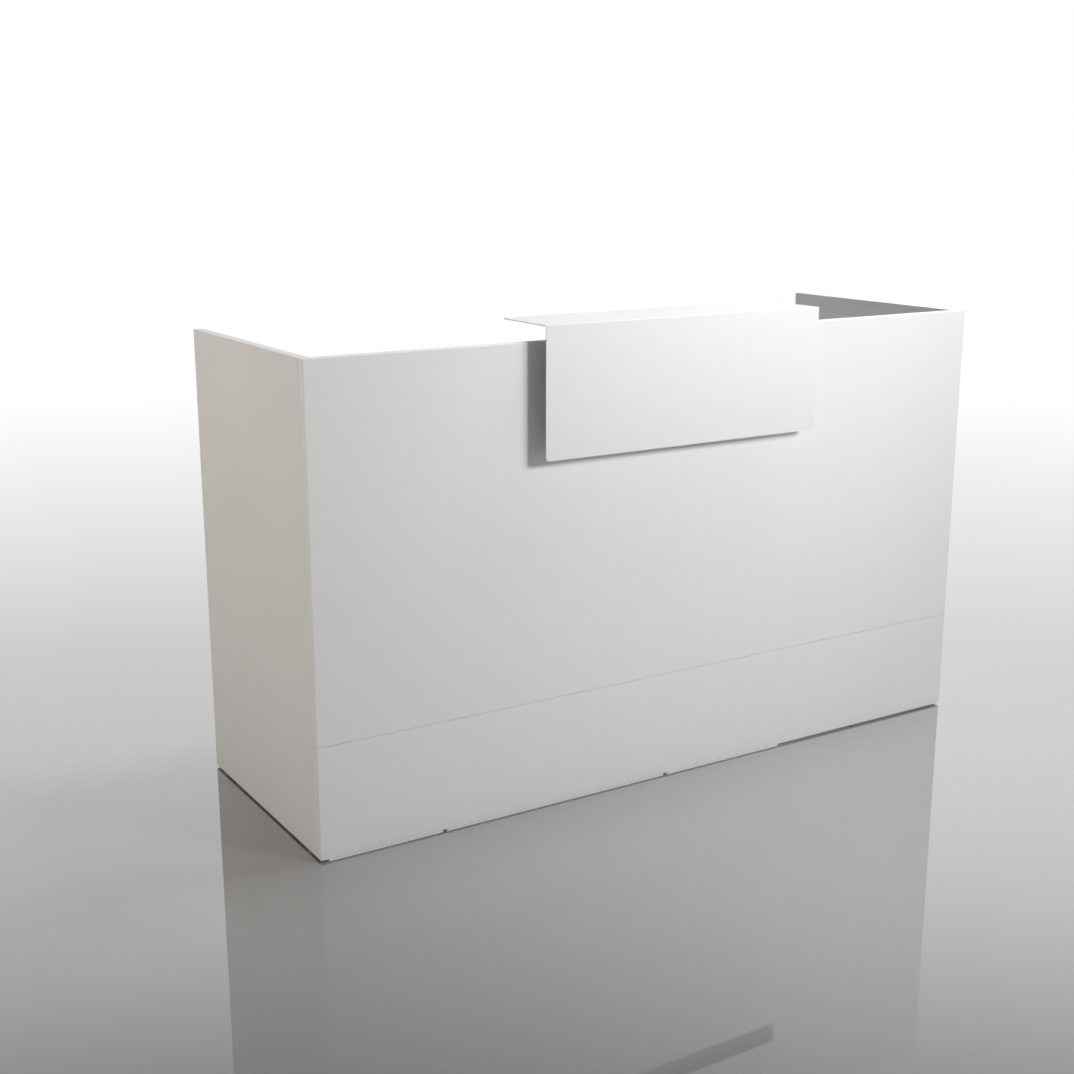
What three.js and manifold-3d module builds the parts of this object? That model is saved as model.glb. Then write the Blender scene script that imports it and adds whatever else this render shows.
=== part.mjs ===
// Reception desk: a white board carcass with a folded steel counter over its front.
// Millimetres, +Z up, the visitor's side towards -Y. The origin is on the floor, under the middle of the
// whole footprint, counter included.
import * as THREE from "three";
import { mergeVertices } from "three/addons/utils/BufferGeometryUtils.js";
import Module from "manifold-3d";

const wasm = await Module();
wasm.setup();

// Carcass boards
const DESK_WIDTH = 1880; // over the outer faces of the side panels
const DESK_DEPTH = 640; // face of the front to the back edges of the side panels
const DESK_HEIGHT = 1100; // floor to the top edges of the boards
const BOARD = 25; // thickness of every board
const ARRIS = 1; // rounding of the edge-banded arrises
const FLOOR_GAP = 5; // floor to the underside of the boards, feet screwed home
const SEAM_HEIGHT = 266; // joint between the plinth panel and the front panel
const SEAM_GAP = 0.6; // open width of that joint
const PLINTH_LIP = 9; // lower edge of the plinth panel, in front of the rebate that takes its feet
const PLINTH_REBATE = 9; // height of that rebate, which lets light through under the front

// Worktop behind the front
const WORKTOP_HEIGHT = 740; // floor to its upper face
const WORKTOP_SETBACK = 20; // from the back edges of the side panels
const WORKTOP_CLEARANCE = 1; // play towards the side panels and the front

// Counter: one steel sheet folded over the front
const COUNTER_WIDTH = 780;
const COUNTER_DEPTH = 187; // front face to back edge
const COUNTER_DROP = 300; // upper face to the lower edge of the flange
const COUNTER_RISE = 40; // upper face above the top edges of the boards
const COUNTER_STANDOFF = 43; // face of the flange ahead of the face of the front
const COUNTER_CORNER = 10; // radius of the free corners
const SHEET = 2.5;
const SHEET_FOLD = 1; // outer radius of the fold, which is grooved on the inside

// Brackets that carry the counter, and the studs welded under it
const BRACKET_SPACING = 250;
const BRACKET_WIDTH = 60;
const BRACKET_DEPTH = 105; // leg under the counter
const BRACKET_DROP = 150; // leg down the inside of the front
const BRACKET_STEEL = 4;
const BRACKET_BEND = 4;
const STUD_WELD_RADIUS = 3;
const STUD_WELD_LENGTH = 14;
const STUD_WELD_INSET = 28; // from either end of the bracket's upper leg

// Angles that carry the worktop
const ANGLE_STEEL = 2.5;
const ANGLE_BEND = 2.5;
const ANGLE_LEG = 36;
const RAIL_LENGTH = 420; // angle along each side panel
const RAIL_HOLES = 4;
const CLIP_LENGTH = 70; // short angle along the front
const CLIP_HOLES = 2;
const CLIP_SPACING = 600;
const SCREW_HOLE_RADIUS = 2.4;
const HOLE_EDGE = 14; // screw hole to the end of a plate or leg
const PLATE_CORNER = 5;

// Plates across the joint inside the front, and the dowels within it
const PLATE_WIDTH = 40;
const PLATE_HEIGHT = 120;
const PLATE_STEEL = 2.5;
const PLATE_SPACING = 600;
const DOWEL_RADIUS = 4;
const DOWEL_LENGTH = 40;
const DOWEL_CHAMFER = 1;
const DOWEL_SPACING = 310;

// Cam locks that draw the side panels to the front
const CAM_RADIUS = 7.5;
const CAM_BELOW = 3.5; // depth of the cam past the bolt's axis
const CAM_SETBACK = 34; // front edge of the side panel to the cam's axis
const CAM_END = 70; // outer cams from the ends of the front panel
const CAMS_PER_FRONT = 3;
const DRIVE_LENGTH = 8; // cross recess in the face of the cam
const DRIVE_WIDTH = 1.6;
const DRIVE_DEPTH = 2.5;
const BOLT_THREAD_RADIUS = 2.5;
const BOLT_THREAD_LENGTH = 11;
const BOLT_SHANK_RADIUS = 3.5;
const BOLT_NECK_RADIUS = 2;
const BOLT_NECK_LENGTH = 5;
const BOLT_HEAD_RADIUS = 3.4;
const BOLT_HEAD_LENGTH = 4;

// Levelling feet and the threaded sleeves that they screw into
const FOOT_RADIUS = 11; // under the side panels
const SLIM_FOOT_RADIUS = 5; // in the rebate of the plinth panel
const FOOT_CHAMFER = 0.5;
const FOOT_SPACING = 625; // under the plinth panel
const FOOT_FRONT_INSET = 45; // front edge of a side panel to its first foot
const FOOT_BACK_INSET = 50; // back edge of a side panel to its second foot
const STUD_RADIUS = 4;
const STUD_LENGTH = 28;
const SLEEVE_RADIUS = 5.5;
const SLEEVE_LENGTH = 34;

// Cable ports in the worktop
const PORT_SPACING = 470; // centre of the desk to a port
const PORT_INSET = 75; // front edge of the worktop to a port
const PORT_RADIUS = 40;
const PORT_WALL = 2.5;
const PORT_DEPTH = 21;
const PORT_FLANGE = 6; // rim beyond the sleeve
const PORT_RIM = 2.5; // thickness of the rim
const PORT_LEDGE = 2.5; // width of the step that the lid lies on
const LEDGE_DEPTH = 1.5; // below the face of the worktop
const LEDGE_THICKNESS = 2;
const LID_SKIRT_DEPTH = 8;
const LID_SKIRT_WALL = 2;
const LID_SLOT_WIDTH = 30;
const LID_SLOT_DEPTH = 22; // from the edge of the lid inwards
const LID_SLOT_CORNER = 6;

// Gaps
const SEAT = 0.3; // between faces that bear on each other
const FIT = 0.3; // round a turned piece in its bore
const OVERSHOOT = 2; // of a cut past the face that it opens

// Facets round a full turn, and round the quarter turn of a fold or a corner
const SIDES = 12; // hidden turned pieces
const HOLE_SIDES = 8; // screw holes
const FOOT_SIDES = 20;
const PORT_SIDES = 36;
const BEND_STEPS = 3;
const CORNER_STEPS = 3;

// Planes that several pieces share
const FRONT_Y = (COUNTER_STANDOFF - DESK_DEPTH) / 2;
const BACK_Y = FRONT_Y + DESK_DEPTH;
const INNER_Y = FRONT_Y + BOARD;
const BOARD_Y = FRONT_Y + BOARD / 2;
const INNER_X = DESK_WIDTH / 2 - BOARD;
const BOARD_X = DESK_WIDTH / 2 - BOARD / 2;
const SIDE_FRONT_Y = INNER_Y + SEAT;
const COUNTER_TOP = DESK_HEIGHT + COUNTER_RISE;
const COUNTER_UNDERSIDE = COUNTER_TOP - SHEET;
const WORKTOP_UNDERSIDE = WORKTOP_HEIGHT - BOARD;
const WORKTOP_FRONT_Y = INNER_Y + WORKTOP_CLEARANCE;
const WORKTOP_BACK_Y = BACK_Y - WORKTOP_SETBACK;
const CAM_Y = SIDE_FRONT_Y + CAM_SETBACK;
const CAM_DEPTH = BOARD / 2 + CAM_BELOW;
const STUD_INSETS = [STUD_WELD_INSET, BRACKET_DEPTH - STUD_WELD_INSET];

const WHITE_BOARD = { color: 0xe9e9e6, roughness: 0.42, metalness: 0 };
const WHITE_STEEL = { color: 0xf1f1ef, roughness: 0.35, metalness: 0 };
const GREY_STEEL = { color: 0xc9cac8, roughness: 0.45, metalness: 0.1 };
const ZINC = { color: 0xa9adb0, roughness: 0.38, metalness: 0.9 };
const YELLOW_ZINC = { color: 0x8d7a45, roughness: 0.4, metalness: 0.85 };
const PORT_PLASTIC = { color: 0xd6d6d2, roughness: 0.5, metalness: 0 };
const BEECH = { color: 0xcfa877, roughness: 0.7, metalness: 0 };

const X = new THREE.Vector3(1, 0, 0);
const Y = new THREE.Vector3(0, 1, 0);
const Z = new THREE.Vector3(0, 0, 1);
const DOWN = Z.clone().negate();

const desk = new THREE.Group();

// A turn that lays a drawing's first two axes along two of the desk's axes.
function laid(first, second) {
  return new THREE.Matrix4().makeBasis(first, second, first.clone().cross(second));
}

// The closed solid of a geometry, from its corners alone.
function solid(geometry) {
  const corners = new THREE.BufferGeometry();
  corners.setAttribute("position", geometry.getAttribute("position").clone());
  corners.setIndex(geometry.index);
  const merged = mergeVertices(corners);
  const triangles = [];
  for (let i = 0; i < merged.index.count; i += 3) {
    const [a, b, c] = merged.index.array.slice(i, i + 3);
    if (a !== b && b !== c && c !== a) triangles.push(a, b, c);
  }
  const vertProperties = new Float32Array(merged.getAttribute("position").array);
  const triVerts = new Uint32Array(triangles);
  return new wasm.Manifold(new wasm.Mesh({ numProp: 3, vertProperties, triVerts }));
}

function geometryOf(body) {
  const { vertProperties, triVerts } = body.getMesh();
  const geometry = new THREE.BufferGeometry();
  geometry.setAttribute("position", new THREE.BufferAttribute(vertProperties, 3));
  geometry.setIndex(new THREE.BufferAttribute(triVerts, 1));
  geometry.computeVertexNormals();
  return geometry;
}

// Adds a named piece to the desk, with its geometry's origin at a place in the desk.
function place(name, geometry, finish, x, y, z) {
  const mesh = new THREE.Mesh(geometry, new THREE.MeshStandardMaterial(finish));
  mesh.name = name;
  mesh.position.set(x, y, z);
  desk.add(mesh);
  return mesh;
}

// Cuts tools that stand at their places in the desk out of a placed piece.
function bore(mesh, tools) {
  const { x, y, z } = mesh.position;
  const cut = (body, tool) => body.subtract(solid(tool.translate(-x, -y, -z)));
  mesh.geometry = geometryOf(tools.reduce(cut, solid(mesh.geometry)));
}

// A round bar between two points.
function bar(radius, from, to, sides = SIDES) {
  const axis = to.clone().sub(from);
  const geometry = new THREE.CylinderGeometry(radius, radius, axis.length(), sides);
  geometry.applyQuaternion(new THREE.Quaternion().setFromUnitVectors(Y, axis.normalize()));
  return geometry.translate(...from.clone().add(to).divideScalar(2).toArray());
}

const screwHole = (from, to) => bar(SCREW_HOLE_RADIUS, from, to, HOLE_SIDES);

// A turned piece about an axis, from radius and height pairs that run up its outside.
function turned(profile, axis, sides = SIDES) {
  const points = profile.map(([radius, height]) => new THREE.Vector2(radius, height));
  const lathe = new THREE.LatheGeometry(points, sides);
  lathe.applyQuaternion(new THREE.Quaternion().setFromUnitVectors(Y, axis));
  return geometryOf(solid(lathe));
}

function rectangle(width, height) {
  const shape = new THREE.Shape();
  shape.moveTo(-width / 2, -height / 2);
  shape.lineTo(width / 2, -height / 2);
  shape.lineTo(width / 2, height / 2);
  shape.lineTo(-width / 2, height / 2);
  shape.closePath();
  return shape;
}

function roundedRectangle(width, height, radius) {
  const right = width / 2 - radius;
  const top = height / 2 - radius;
  const shape = new THREE.Shape();
  shape.absarc(right, top, radius, 0, Math.PI / 2, false);
  shape.absarc(-right, top, radius, Math.PI / 2, Math.PI, false);
  shape.absarc(-right, -top, radius, Math.PI, 1.5 * Math.PI, false);
  shape.absarc(right, -top, radius, 1.5 * Math.PI, 2 * Math.PI, false);
  return shape;
}

// A flat blank of a shape, centred through its thickness.
function blank(shape, thickness) {
  const options = { depth: thickness, bevelEnabled: false, curveSegments: CORNER_STEPS };
  return new THREE.ExtrudeGeometry(shape, options).translate(0, 0, -thickness / 2);
}

// A board, centred on its own middle, with rounded arrises round both faces.
function board(width, height) {
  const geometry = new THREE.ExtrudeGeometry(rectangle(width, height), {
    depth: BOARD - 2 * ARRIS,
    bevelThickness: ARRIS,
    bevelSize: ARRIS,
    bevelOffset: -ARRIS,
    bevelSegments: 2,
  });
  return geometry.translate(0, 0, ARRIS - BOARD / 2);
}

// A plate folded once. One leg runs along the first axis, the other along the second, both measured over
// the outside of the fold, which lies at the origin. A plate that is grooved before it is folded has an
// outer radius smaller than its thickness, and a plain corner inside. The free corners are rounded.
function foldedPlate({ reach, drop, length, thickness, outside, corner }) {
  const inside = Math.max(outside - thickness, 0);
  const root = thickness + inside;
  const section = new THREE.Shape();
  section.moveTo(reach, 0);
  section.lineTo(reach, thickness);
  section.lineTo(root, thickness);
  if (inside > 0) section.absarc(root, root, inside, 1.5 * Math.PI, Math.PI, true);
  section.lineTo(thickness, drop);
  section.lineTo(0, drop);
  section.lineTo(0, outside);
  section.absarc(outside, outside, outside, Math.PI, 1.5 * Math.PI, false);
  const options = { depth: length, bevelEnabled: false, curveSegments: BEND_STEPS };
  const fold = new THREE.ExtrudeGeometry(section, options).translate(0, 0, -length / 2);

  const past = corner + OVERSHOOT;
  const plan = blank(roundedRectangle(reach + past, length, corner), 2 * (drop + past));
  plan.applyMatrix4(laid(X, Z)).translate((reach - past) / 2, 0, 0);
  const elevation = blank(roundedRectangle(drop + past, length, corner), 2 * (reach + past));
  elevation.applyMatrix4(laid(Y, Z)).translate(0, (drop - past) / 2, 0);
  return geometryOf(solid(fold).intersect(solid(plan)).intersect(solid(elevation)));
}

// Evenly spaced places between two ends, both included.
function spread(from, to, count) {
  return Array.from({ length: count }, (_, i) => from + ((to - from) * i) / (count - 1));
}

const point = (x, y, z) => new THREE.Vector3(x, y, z);
const SIDE_NAMES = new Map([[-1, "left"], [1, "right"]]);
const THIRD_NAMES = new Map([[-1, "left"], [0, "centre"], [1, "right"]]);

// Boards of the carcass
const plinthTop = SEAM_HEIGHT - SEAM_GAP / 2;
const frontBottom = SEAM_HEIGHT + SEAM_GAP / 2;
const upright = laid(X, Z);
const endways = laid(Y, Z);

const frontHeight = DESK_HEIGHT - frontBottom;
const frontBoard = board(DESK_WIDTH, frontHeight).applyMatrix4(upright);
const frontPanel = place("front_panel", frontBoard, WHITE_BOARD, 0, BOARD_Y, frontBottom + frontHeight / 2);

const plinthHeight = plinthTop - FLOOR_GAP;
const plinthBoard = board(DESK_WIDTH, plinthHeight).applyMatrix4(upright);
const plinthPanel = place("plinth_panel", plinthBoard, WHITE_BOARD, 0, BOARD_Y, FLOOR_GAP + plinthHeight / 2);

// The rebate in the lower edge of the plinth panel, stopped at the side panels
const rebateTop = FLOOR_GAP + PLINTH_REBATE;
const rebateDepth = BOARD - PLINTH_LIP;
const rebateY = INNER_Y - rebateDepth / 2;
const cutter = new THREE.BoxGeometry(2 * INNER_X, rebateDepth + OVERSHOOT, PLINTH_REBATE + OVERSHOOT);
cutter.translate(0, rebateY + OVERSHOOT / 2, rebateTop - (PLINTH_REBATE + OVERSHOOT) / 2);
bore(plinthPanel, [cutter]);

const sideDepth = BACK_Y - SIDE_FRONT_Y;
const sideHeight = DESK_HEIGHT - FLOOR_GAP;
const sidePanels = new Map();
for (const [side, name] of SIDE_NAMES) {
  const geometry = board(sideDepth, sideHeight).applyMatrix4(endways);
  const y = SIDE_FRONT_Y + sideDepth / 2;
  const z = FLOOR_GAP + sideHeight / 2;
  sidePanels.set(side, place(`side_panel_${name}`, geometry, WHITE_BOARD, side * BOARD_X, y, z));
}

const worktopWidth = 2 * (INNER_X - WORKTOP_CLEARANCE);
const worktopDepth = WORKTOP_BACK_Y - WORKTOP_FRONT_Y;
const worktopY = (WORKTOP_FRONT_Y + WORKTOP_BACK_Y) / 2;
const worktopZ = WORKTOP_HEIGHT - BOARD / 2;
const worktop = place("worktop", board(worktopWidth, worktopDepth), WHITE_BOARD, 0, worktopY, worktopZ);

// Dowels along the joint of the front
for (const [index, x] of spread(-1.5 * DOWEL_SPACING, 1.5 * DOWEL_SPACING, 4).entries()) {
  const half = DOWEL_LENGTH / 2;
  const profile = [
    [0, -half],
    [DOWEL_RADIUS - DOWEL_CHAMFER, -half],
    [DOWEL_RADIUS, DOWEL_CHAMFER - half],
    [DOWEL_RADIUS, half - DOWEL_CHAMFER],
    [DOWEL_RADIUS - DOWEL_CHAMFER, half],
    [0, half],
  ];
  place(`seam_dowel_${index + 1}`, turned(profile, Z), BEECH, x, BOARD_Y, SEAM_HEIGHT);
  for (const panel of [frontPanel, plinthPanel]) {
    const bottom = point(x, BOARD_Y, SEAM_HEIGHT - half - FIT);
    const top = point(x, BOARD_Y, SEAM_HEIGHT + half + FIT);
    bore(panel, [bar(DOWEL_RADIUS + FIT, bottom, top)]);
  }
}

// Plates screwed across the joint on the inside
for (const [third, name] of THIRD_NAMES) {
  const shape = roundedRectangle(PLATE_WIDTH, PLATE_HEIGHT, PLATE_CORNER);
  const geometry = blank(shape, PLATE_STEEL).applyMatrix4(upright);
  const x = third * PLATE_SPACING;
  const y = INNER_Y + SEAT + PLATE_STEEL / 2;
  const plate = place(`joint_plate_${name}`, geometry, GREY_STEEL, x, y, SEAM_HEIGHT);
  const columns = [HOLE_EDGE - PLATE_WIDTH / 2, PLATE_WIDTH / 2 - HOLE_EDGE];
  const rows = [HOLE_EDGE - PLATE_HEIGHT / 2, PLATE_HEIGHT / 2 - HOLE_EDGE];
  const through = Y.clone().multiplyScalar(PLATE_STEEL + OVERSHOOT);
  for (const column of columns) {
    for (const row of rows) {
      const middle = point(x + column, y, SEAM_HEIGHT + row);
      bore(plate, [screwHole(middle.clone().sub(through), middle.clone().add(through))]);
    }
  }
}

// Cam locks: a cam in the inner face of the side panel draws on a bolt in the back of the front
function camGeometry(side) {
  const inwards = X.clone().multiplyScalar(-side);
  const body = bar(CAM_RADIUS, point(0, 0, 0), inwards.clone().multiplyScalar(-CAM_DEPTH));
  const along = new THREE.BoxGeometry(2 * DRIVE_DEPTH, DRIVE_LENGTH, DRIVE_WIDTH);
  const across = new THREE.BoxGeometry(2 * DRIVE_DEPTH, DRIVE_WIDTH, DRIVE_LENGTH);
  const jawHalf = BOLT_HEAD_RADIUS + 2 * FIT;
  const jawTop = BOARD / 2 - jawHalf;
  const jawHeight = CAM_DEPTH - jawTop + OVERSHOOT;
  const jawFront = -CAM_RADIUS - OVERSHOOT;
  const jawBack = BOLT_HEAD_LENGTH / 2 + 2 * FIT;
  const jaw = new THREE.BoxGeometry(jawHeight, jawBack - jawFront, 2 * jawHalf);
  jaw.translate(side * (jawTop + jawHeight / 2), (jawFront + jawBack) / 2, 0);
  return geometryOf([along, across, jaw].reduce((cam, tool) => cam.subtract(solid(tool)), solid(body)));
}

function boltGeometry() {
  const headStart = CAM_SETBACK + SEAT - BOLT_HEAD_LENGTH / 2;
  const headEnd = CAM_SETBACK + SEAT + BOLT_HEAD_LENGTH / 2;
  const shankEnd = headStart - BOLT_NECK_LENGTH;
  const profile = [
    [0, -BOLT_THREAD_LENGTH],
    [BOLT_THREAD_RADIUS, -BOLT_THREAD_LENGTH],
    [BOLT_THREAD_RADIUS, SEAT],
    [BOLT_SHANK_RADIUS, SEAT],
    [BOLT_SHANK_RADIUS, shankEnd],
    [BOLT_NECK_RADIUS, shankEnd],
    [BOLT_NECK_RADIUS, headStart],
    [BOLT_HEAD_RADIUS, headStart],
    [BOLT_HEAD_RADIUS, headEnd],
    [0, headEnd],
  ];
  return turned(profile, Y);
}

const frontCams = spread(frontBottom + CAM_END, DESK_HEIGHT - CAM_END, CAMS_PER_FRONT);
const camHeights = [FLOOR_GAP + plinthHeight / 2, ...frontCams];
for (const [side, name] of SIDE_NAMES) {
  for (const [index, z] of camHeights.entries()) {
    const x = side * BOARD_X;
    const face = side * (INNER_X + SEAT);
    const pocketEnd = point(side * (INNER_X + SEAT + CAM_DEPTH + FIT), CAM_Y, z);
    place(`cam_lock_${name}_${index + 1}`, camGeometry(side), ZINC, face, CAM_Y, z);
    place(`cam_bolt_${name}_${index + 1}`, boltGeometry(), ZINC, x, INNER_Y, z);
    bore(sidePanels.get(side), [
      bar(CAM_RADIUS + FIT, point(side * (INNER_X - OVERSHOOT), CAM_Y, z), pocketEnd),
      bar(BOLT_SHANK_RADIUS + FIT, point(x, SIDE_FRONT_Y - OVERSHOOT, z), point(x, CAM_Y, z)),
    ]);
    const panel = index === 0 ? plinthPanel : frontPanel;
    const threadEnd = point(x, INNER_Y - BOLT_THREAD_LENGTH - FIT, z);
    bore(panel, [bar(BOLT_THREAD_RADIUS + FIT, point(x, INNER_Y + OVERSHOOT, z), threadEnd)]);
  }
}

// Counter with its weld studs, on three brackets screwed inside the front
const backwards = laid(Y, DOWN);
const counterFrontY = FRONT_Y - COUNTER_STANDOFF;
const bracketY = INNER_Y + SEAT;
const bracketTop = COUNTER_UNDERSIDE - SEAT;
const bracketXs = [...THIRD_NAMES.keys()].map((third) => third * BRACKET_SPACING);

const counterSheet = foldedPlate({
  reach: COUNTER_DEPTH,
  drop: COUNTER_DROP,
  length: COUNTER_WIDTH,
  thickness: SHEET,
  outside: SHEET_FOLD,
  corner: COUNTER_CORNER,
}).applyMatrix4(backwards);
let counterBody = solid(counterSheet);
for (const x of bracketXs) {
  for (const inset of STUD_INSETS) {
    const y = bracketY + inset - counterFrontY;
    const root = point(x, y, -SHEET / 2);
    const tip = point(x, y, -SHEET - STUD_WELD_LENGTH);
    counterBody = counterBody.add(solid(bar(STUD_WELD_RADIUS, root, tip)));
  }
}
place("counter", geometryOf(counterBody), WHITE_STEEL, 0, counterFrontY, COUNTER_TOP);

for (const [third, name] of THIRD_NAMES) {
  const x = third * BRACKET_SPACING;
  const geometry = foldedPlate({
    reach: BRACKET_DEPTH,
    drop: BRACKET_DROP,
    length: BRACKET_WIDTH,
    thickness: BRACKET_STEEL,
    outside: BRACKET_BEND + BRACKET_STEEL,
    corner: PLATE_CORNER,
  }).applyMatrix4(backwards);
  const bracket = place(`counter_bracket_${name}`, geometry, GREY_STEEL, x, bracketY, bracketTop);
  for (const inset of STUD_INSETS) {
    const above = point(x, bracketY + inset, bracketTop + OVERSHOOT);
    const below = point(x, bracketY + inset, bracketTop - BRACKET_STEEL - OVERSHOOT);
    bore(bracket, [bar(STUD_WELD_RADIUS + FIT, above, below)]);
  }
  const rows = [bracketTop - BRACKET_DROP + HOLE_EDGE, DESK_HEIGHT - 2 * HOLE_EDGE];
  for (const column of [HOLE_EDGE - BRACKET_WIDTH / 2, BRACKET_WIDTH / 2 - HOLE_EDGE]) {
    for (const row of rows) {
      const before = point(x + column, bracketY - OVERSHOOT, row);
      const behind = point(x + column, bracketY + BRACKET_STEEL + OVERSHOOT, row);
      bore(bracket, [screwHole(before, behind)]);
    }
  }
}

// Angles under the worktop, with a row of screw holes in each leg
function angle(name, length, count, outwards, corner) {
  const turn = laid(outwards, DOWN);
  const run = outwards.clone().cross(DOWN);
  const geometry = foldedPlate({
    reach: ANGLE_LEG,
    drop: ANGLE_LEG,
    length,
    thickness: ANGLE_STEEL,
    outside: ANGLE_BEND + ANGLE_STEEL,
    corner: PLATE_CORNER,
  }).applyMatrix4(turn);
  const mesh = place(name, geometry, GREY_STEEL, corner.x, corner.y, corner.z);
  const lane = ANGLE_LEG - HOLE_EDGE;
  for (const step of spread(HOLE_EDGE - length / 2, length / 2 - HOLE_EDGE, count)) {
    const upper = corner.clone().addScaledVector(run, step).addScaledVector(outwards, lane);
    const lower = corner.clone().addScaledVector(run, step).addScaledVector(DOWN, lane);
    const past = ANGLE_STEEL + OVERSHOOT;
    bore(mesh, [
      screwHole(upper.clone().addScaledVector(DOWN, -OVERSHOOT), upper.addScaledVector(DOWN, past)),
      screwHole(lower.clone().addScaledVector(outwards, -OVERSHOOT), lower.addScaledVector(outwards, past)),
    ]);
  }
}

const angleZ = WORKTOP_UNDERSIDE - SEAT;
for (const [side, name] of SIDE_NAMES) {
  const inwards = X.clone().multiplyScalar(-side);
  const corner = point(side * (INNER_X - SEAT), worktopY, angleZ);
  angle(`worktop_rail_${name}`, RAIL_LENGTH, RAIL_HOLES, inwards, corner);
}
for (const [third, name] of THIRD_NAMES) {
  const corner = point(third * CLIP_SPACING, INNER_Y + SEAT, angleZ);
  angle(`worktop_clip_${name}`, CLIP_LENGTH, CLIP_HOLES, Y, corner);
}

// Levelling feet, each screwed into a sleeve let into a board from below
function levellingFoot(name, panel, radius, x, y, underside) {
  const sleeve = [
    [STUD_RADIUS + FIT, 0],
    [SLEEVE_RADIUS, 0],
    [SLEEVE_RADIUS, SLEEVE_LENGTH],
    [STUD_RADIUS + FIT, SLEEVE_LENGTH],
    [STUD_RADIUS + FIT, 0],
  ];
  const baseTop = FLOOR_GAP - SEAT;
  const tip = FLOOR_GAP + STUD_LENGTH;
  const foot = [
    [0, 0],
    [radius - FOOT_CHAMFER, 0],
    [radius, FOOT_CHAMFER],
    [radius, baseTop - FOOT_CHAMFER],
    [radius - FOOT_CHAMFER, baseTop],
    [STUD_RADIUS, baseTop],
    [STUD_RADIUS, tip - FOOT_CHAMFER],
    [STUD_RADIUS - FOOT_CHAMFER, tip],
    [0, tip],
  ];
  place(`foot_sleeve_${name}`, turned(sleeve, Z), ZINC, x, y, underside);
  place(`foot_${name}`, turned(foot, Z, FOOT_SIDES), YELLOW_ZINC, x, y, 0);
  const top = point(x, y, underside + SLEEVE_LENGTH + FIT);
  bore(panel, [bar(SLEEVE_RADIUS + FIT, point(x, y, FLOOR_GAP - OVERSHOOT), top)]);
}

for (const [third, name] of THIRD_NAMES) {
  const x = third * FOOT_SPACING;
  levellingFoot(`front_${name}`, plinthPanel, SLIM_FOOT_RADIUS, x, rebateY, rebateTop);
}
for (const [side, name] of SIDE_NAMES) {
  const panel = sidePanels.get(side);
  const x = side * BOARD_X;
  levellingFoot(`side_${name}_front`, panel, FOOT_RADIUS, x, SIDE_FRONT_Y + FOOT_FRONT_INSET, FLOOR_GAP);
  levellingFoot(`side_${name}_back`, panel, FOOT_RADIUS, x, BACK_Y - FOOT_BACK_INSET, FLOOR_GAP);
}

// Cable ports: a flanged ring in the worktop, and a slotted lid that lifts out of it
const portBore = PORT_RADIUS - PORT_WALL;
const ledgeRadius = portBore - PORT_LEDGE;
const rimTop = SEAT + PORT_RIM;

function portRing() {
  const flange = PORT_RADIUS + PORT_FLANGE;
  const profile = [
    [portBore, -PORT_DEPTH],
    [PORT_RADIUS, -PORT_DEPTH],
    [PORT_RADIUS, SEAT],
    [flange, SEAT],
    [flange, rimTop - PORT_RIM / 2],
    [flange - PORT_RIM / 2, rimTop],
    [portBore, rimTop],
    [portBore, -LEDGE_DEPTH],
    [ledgeRadius, -LEDGE_DEPTH],
    [ledgeRadius, -LEDGE_DEPTH - LEDGE_THICKNESS],
    [portBore, -LEDGE_DEPTH - LEDGE_THICKNESS],
    [portBore, -PORT_DEPTH],
  ];
  return turned(profile, Z, PORT_SIDES);
}

function portLid() {
  const lidRadius = portBore - FIT;
  const underside = SEAT - LEDGE_DEPTH;
  const skirt = ledgeRadius - FIT;
  const skirtEnd = underside - LID_SKIRT_DEPTH;
  const profile = [
    [0, underside],
    [skirt - LID_SKIRT_WALL, underside],
    [skirt - LID_SKIRT_WALL, skirtEnd],
    [skirt, skirtEnd],
    [skirt, underside],
    [lidRadius, underside],
    [lidRadius, rimTop - PORT_RIM / 4],
    [lidRadius - PORT_RIM / 4, rimTop],
    [0, rimTop],
  ];
  const slot = blank(roundedRectangle(LID_SLOT_WIDTH, 2 * LID_SLOT_DEPTH, LID_SLOT_CORNER), 2 * PORT_DEPTH);
  slot.translate(0, -lidRadius, 0);
  return geometryOf(solid(turned(profile, Z, PORT_SIDES)).subtract(solid(slot)));
}

const portY = WORKTOP_FRONT_Y + PORT_INSET;
for (const [side, name] of SIDE_NAMES) {
  const x = side * PORT_SPACING;
  place(`port_ring_${name}`, portRing(), PORT_PLASTIC, x, portY, WORKTOP_HEIGHT);
  place(`port_lid_${name}`, portLid(), PORT_PLASTIC, x, portY, WORKTOP_HEIGHT);
  const above = point(x, portY, WORKTOP_HEIGHT + OVERSHOOT);
  const below = point(x, portY, WORKTOP_UNDERSIDE - OVERSHOOT);
  bore(worktop, [bar(PORT_RADIUS + FIT, above, below, PORT_SIDES)]);
}

export default desk;
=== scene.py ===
# %% [markdown]
# # A reception desk and its finishes
# The solids of the desk come packed, in metres, with +Z up and the visitor's side towards -Y. This lesson
# dresses them: it sets up a camera and a small studio, builds the finishes from shader nodes, and models
# the pieces that need finer shapes than the solids have. Nothing here moves or resizes the solids.

# %% Load the frame
import math

import bmesh
import bpy
from mathutils import Matrix, Vector


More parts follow.
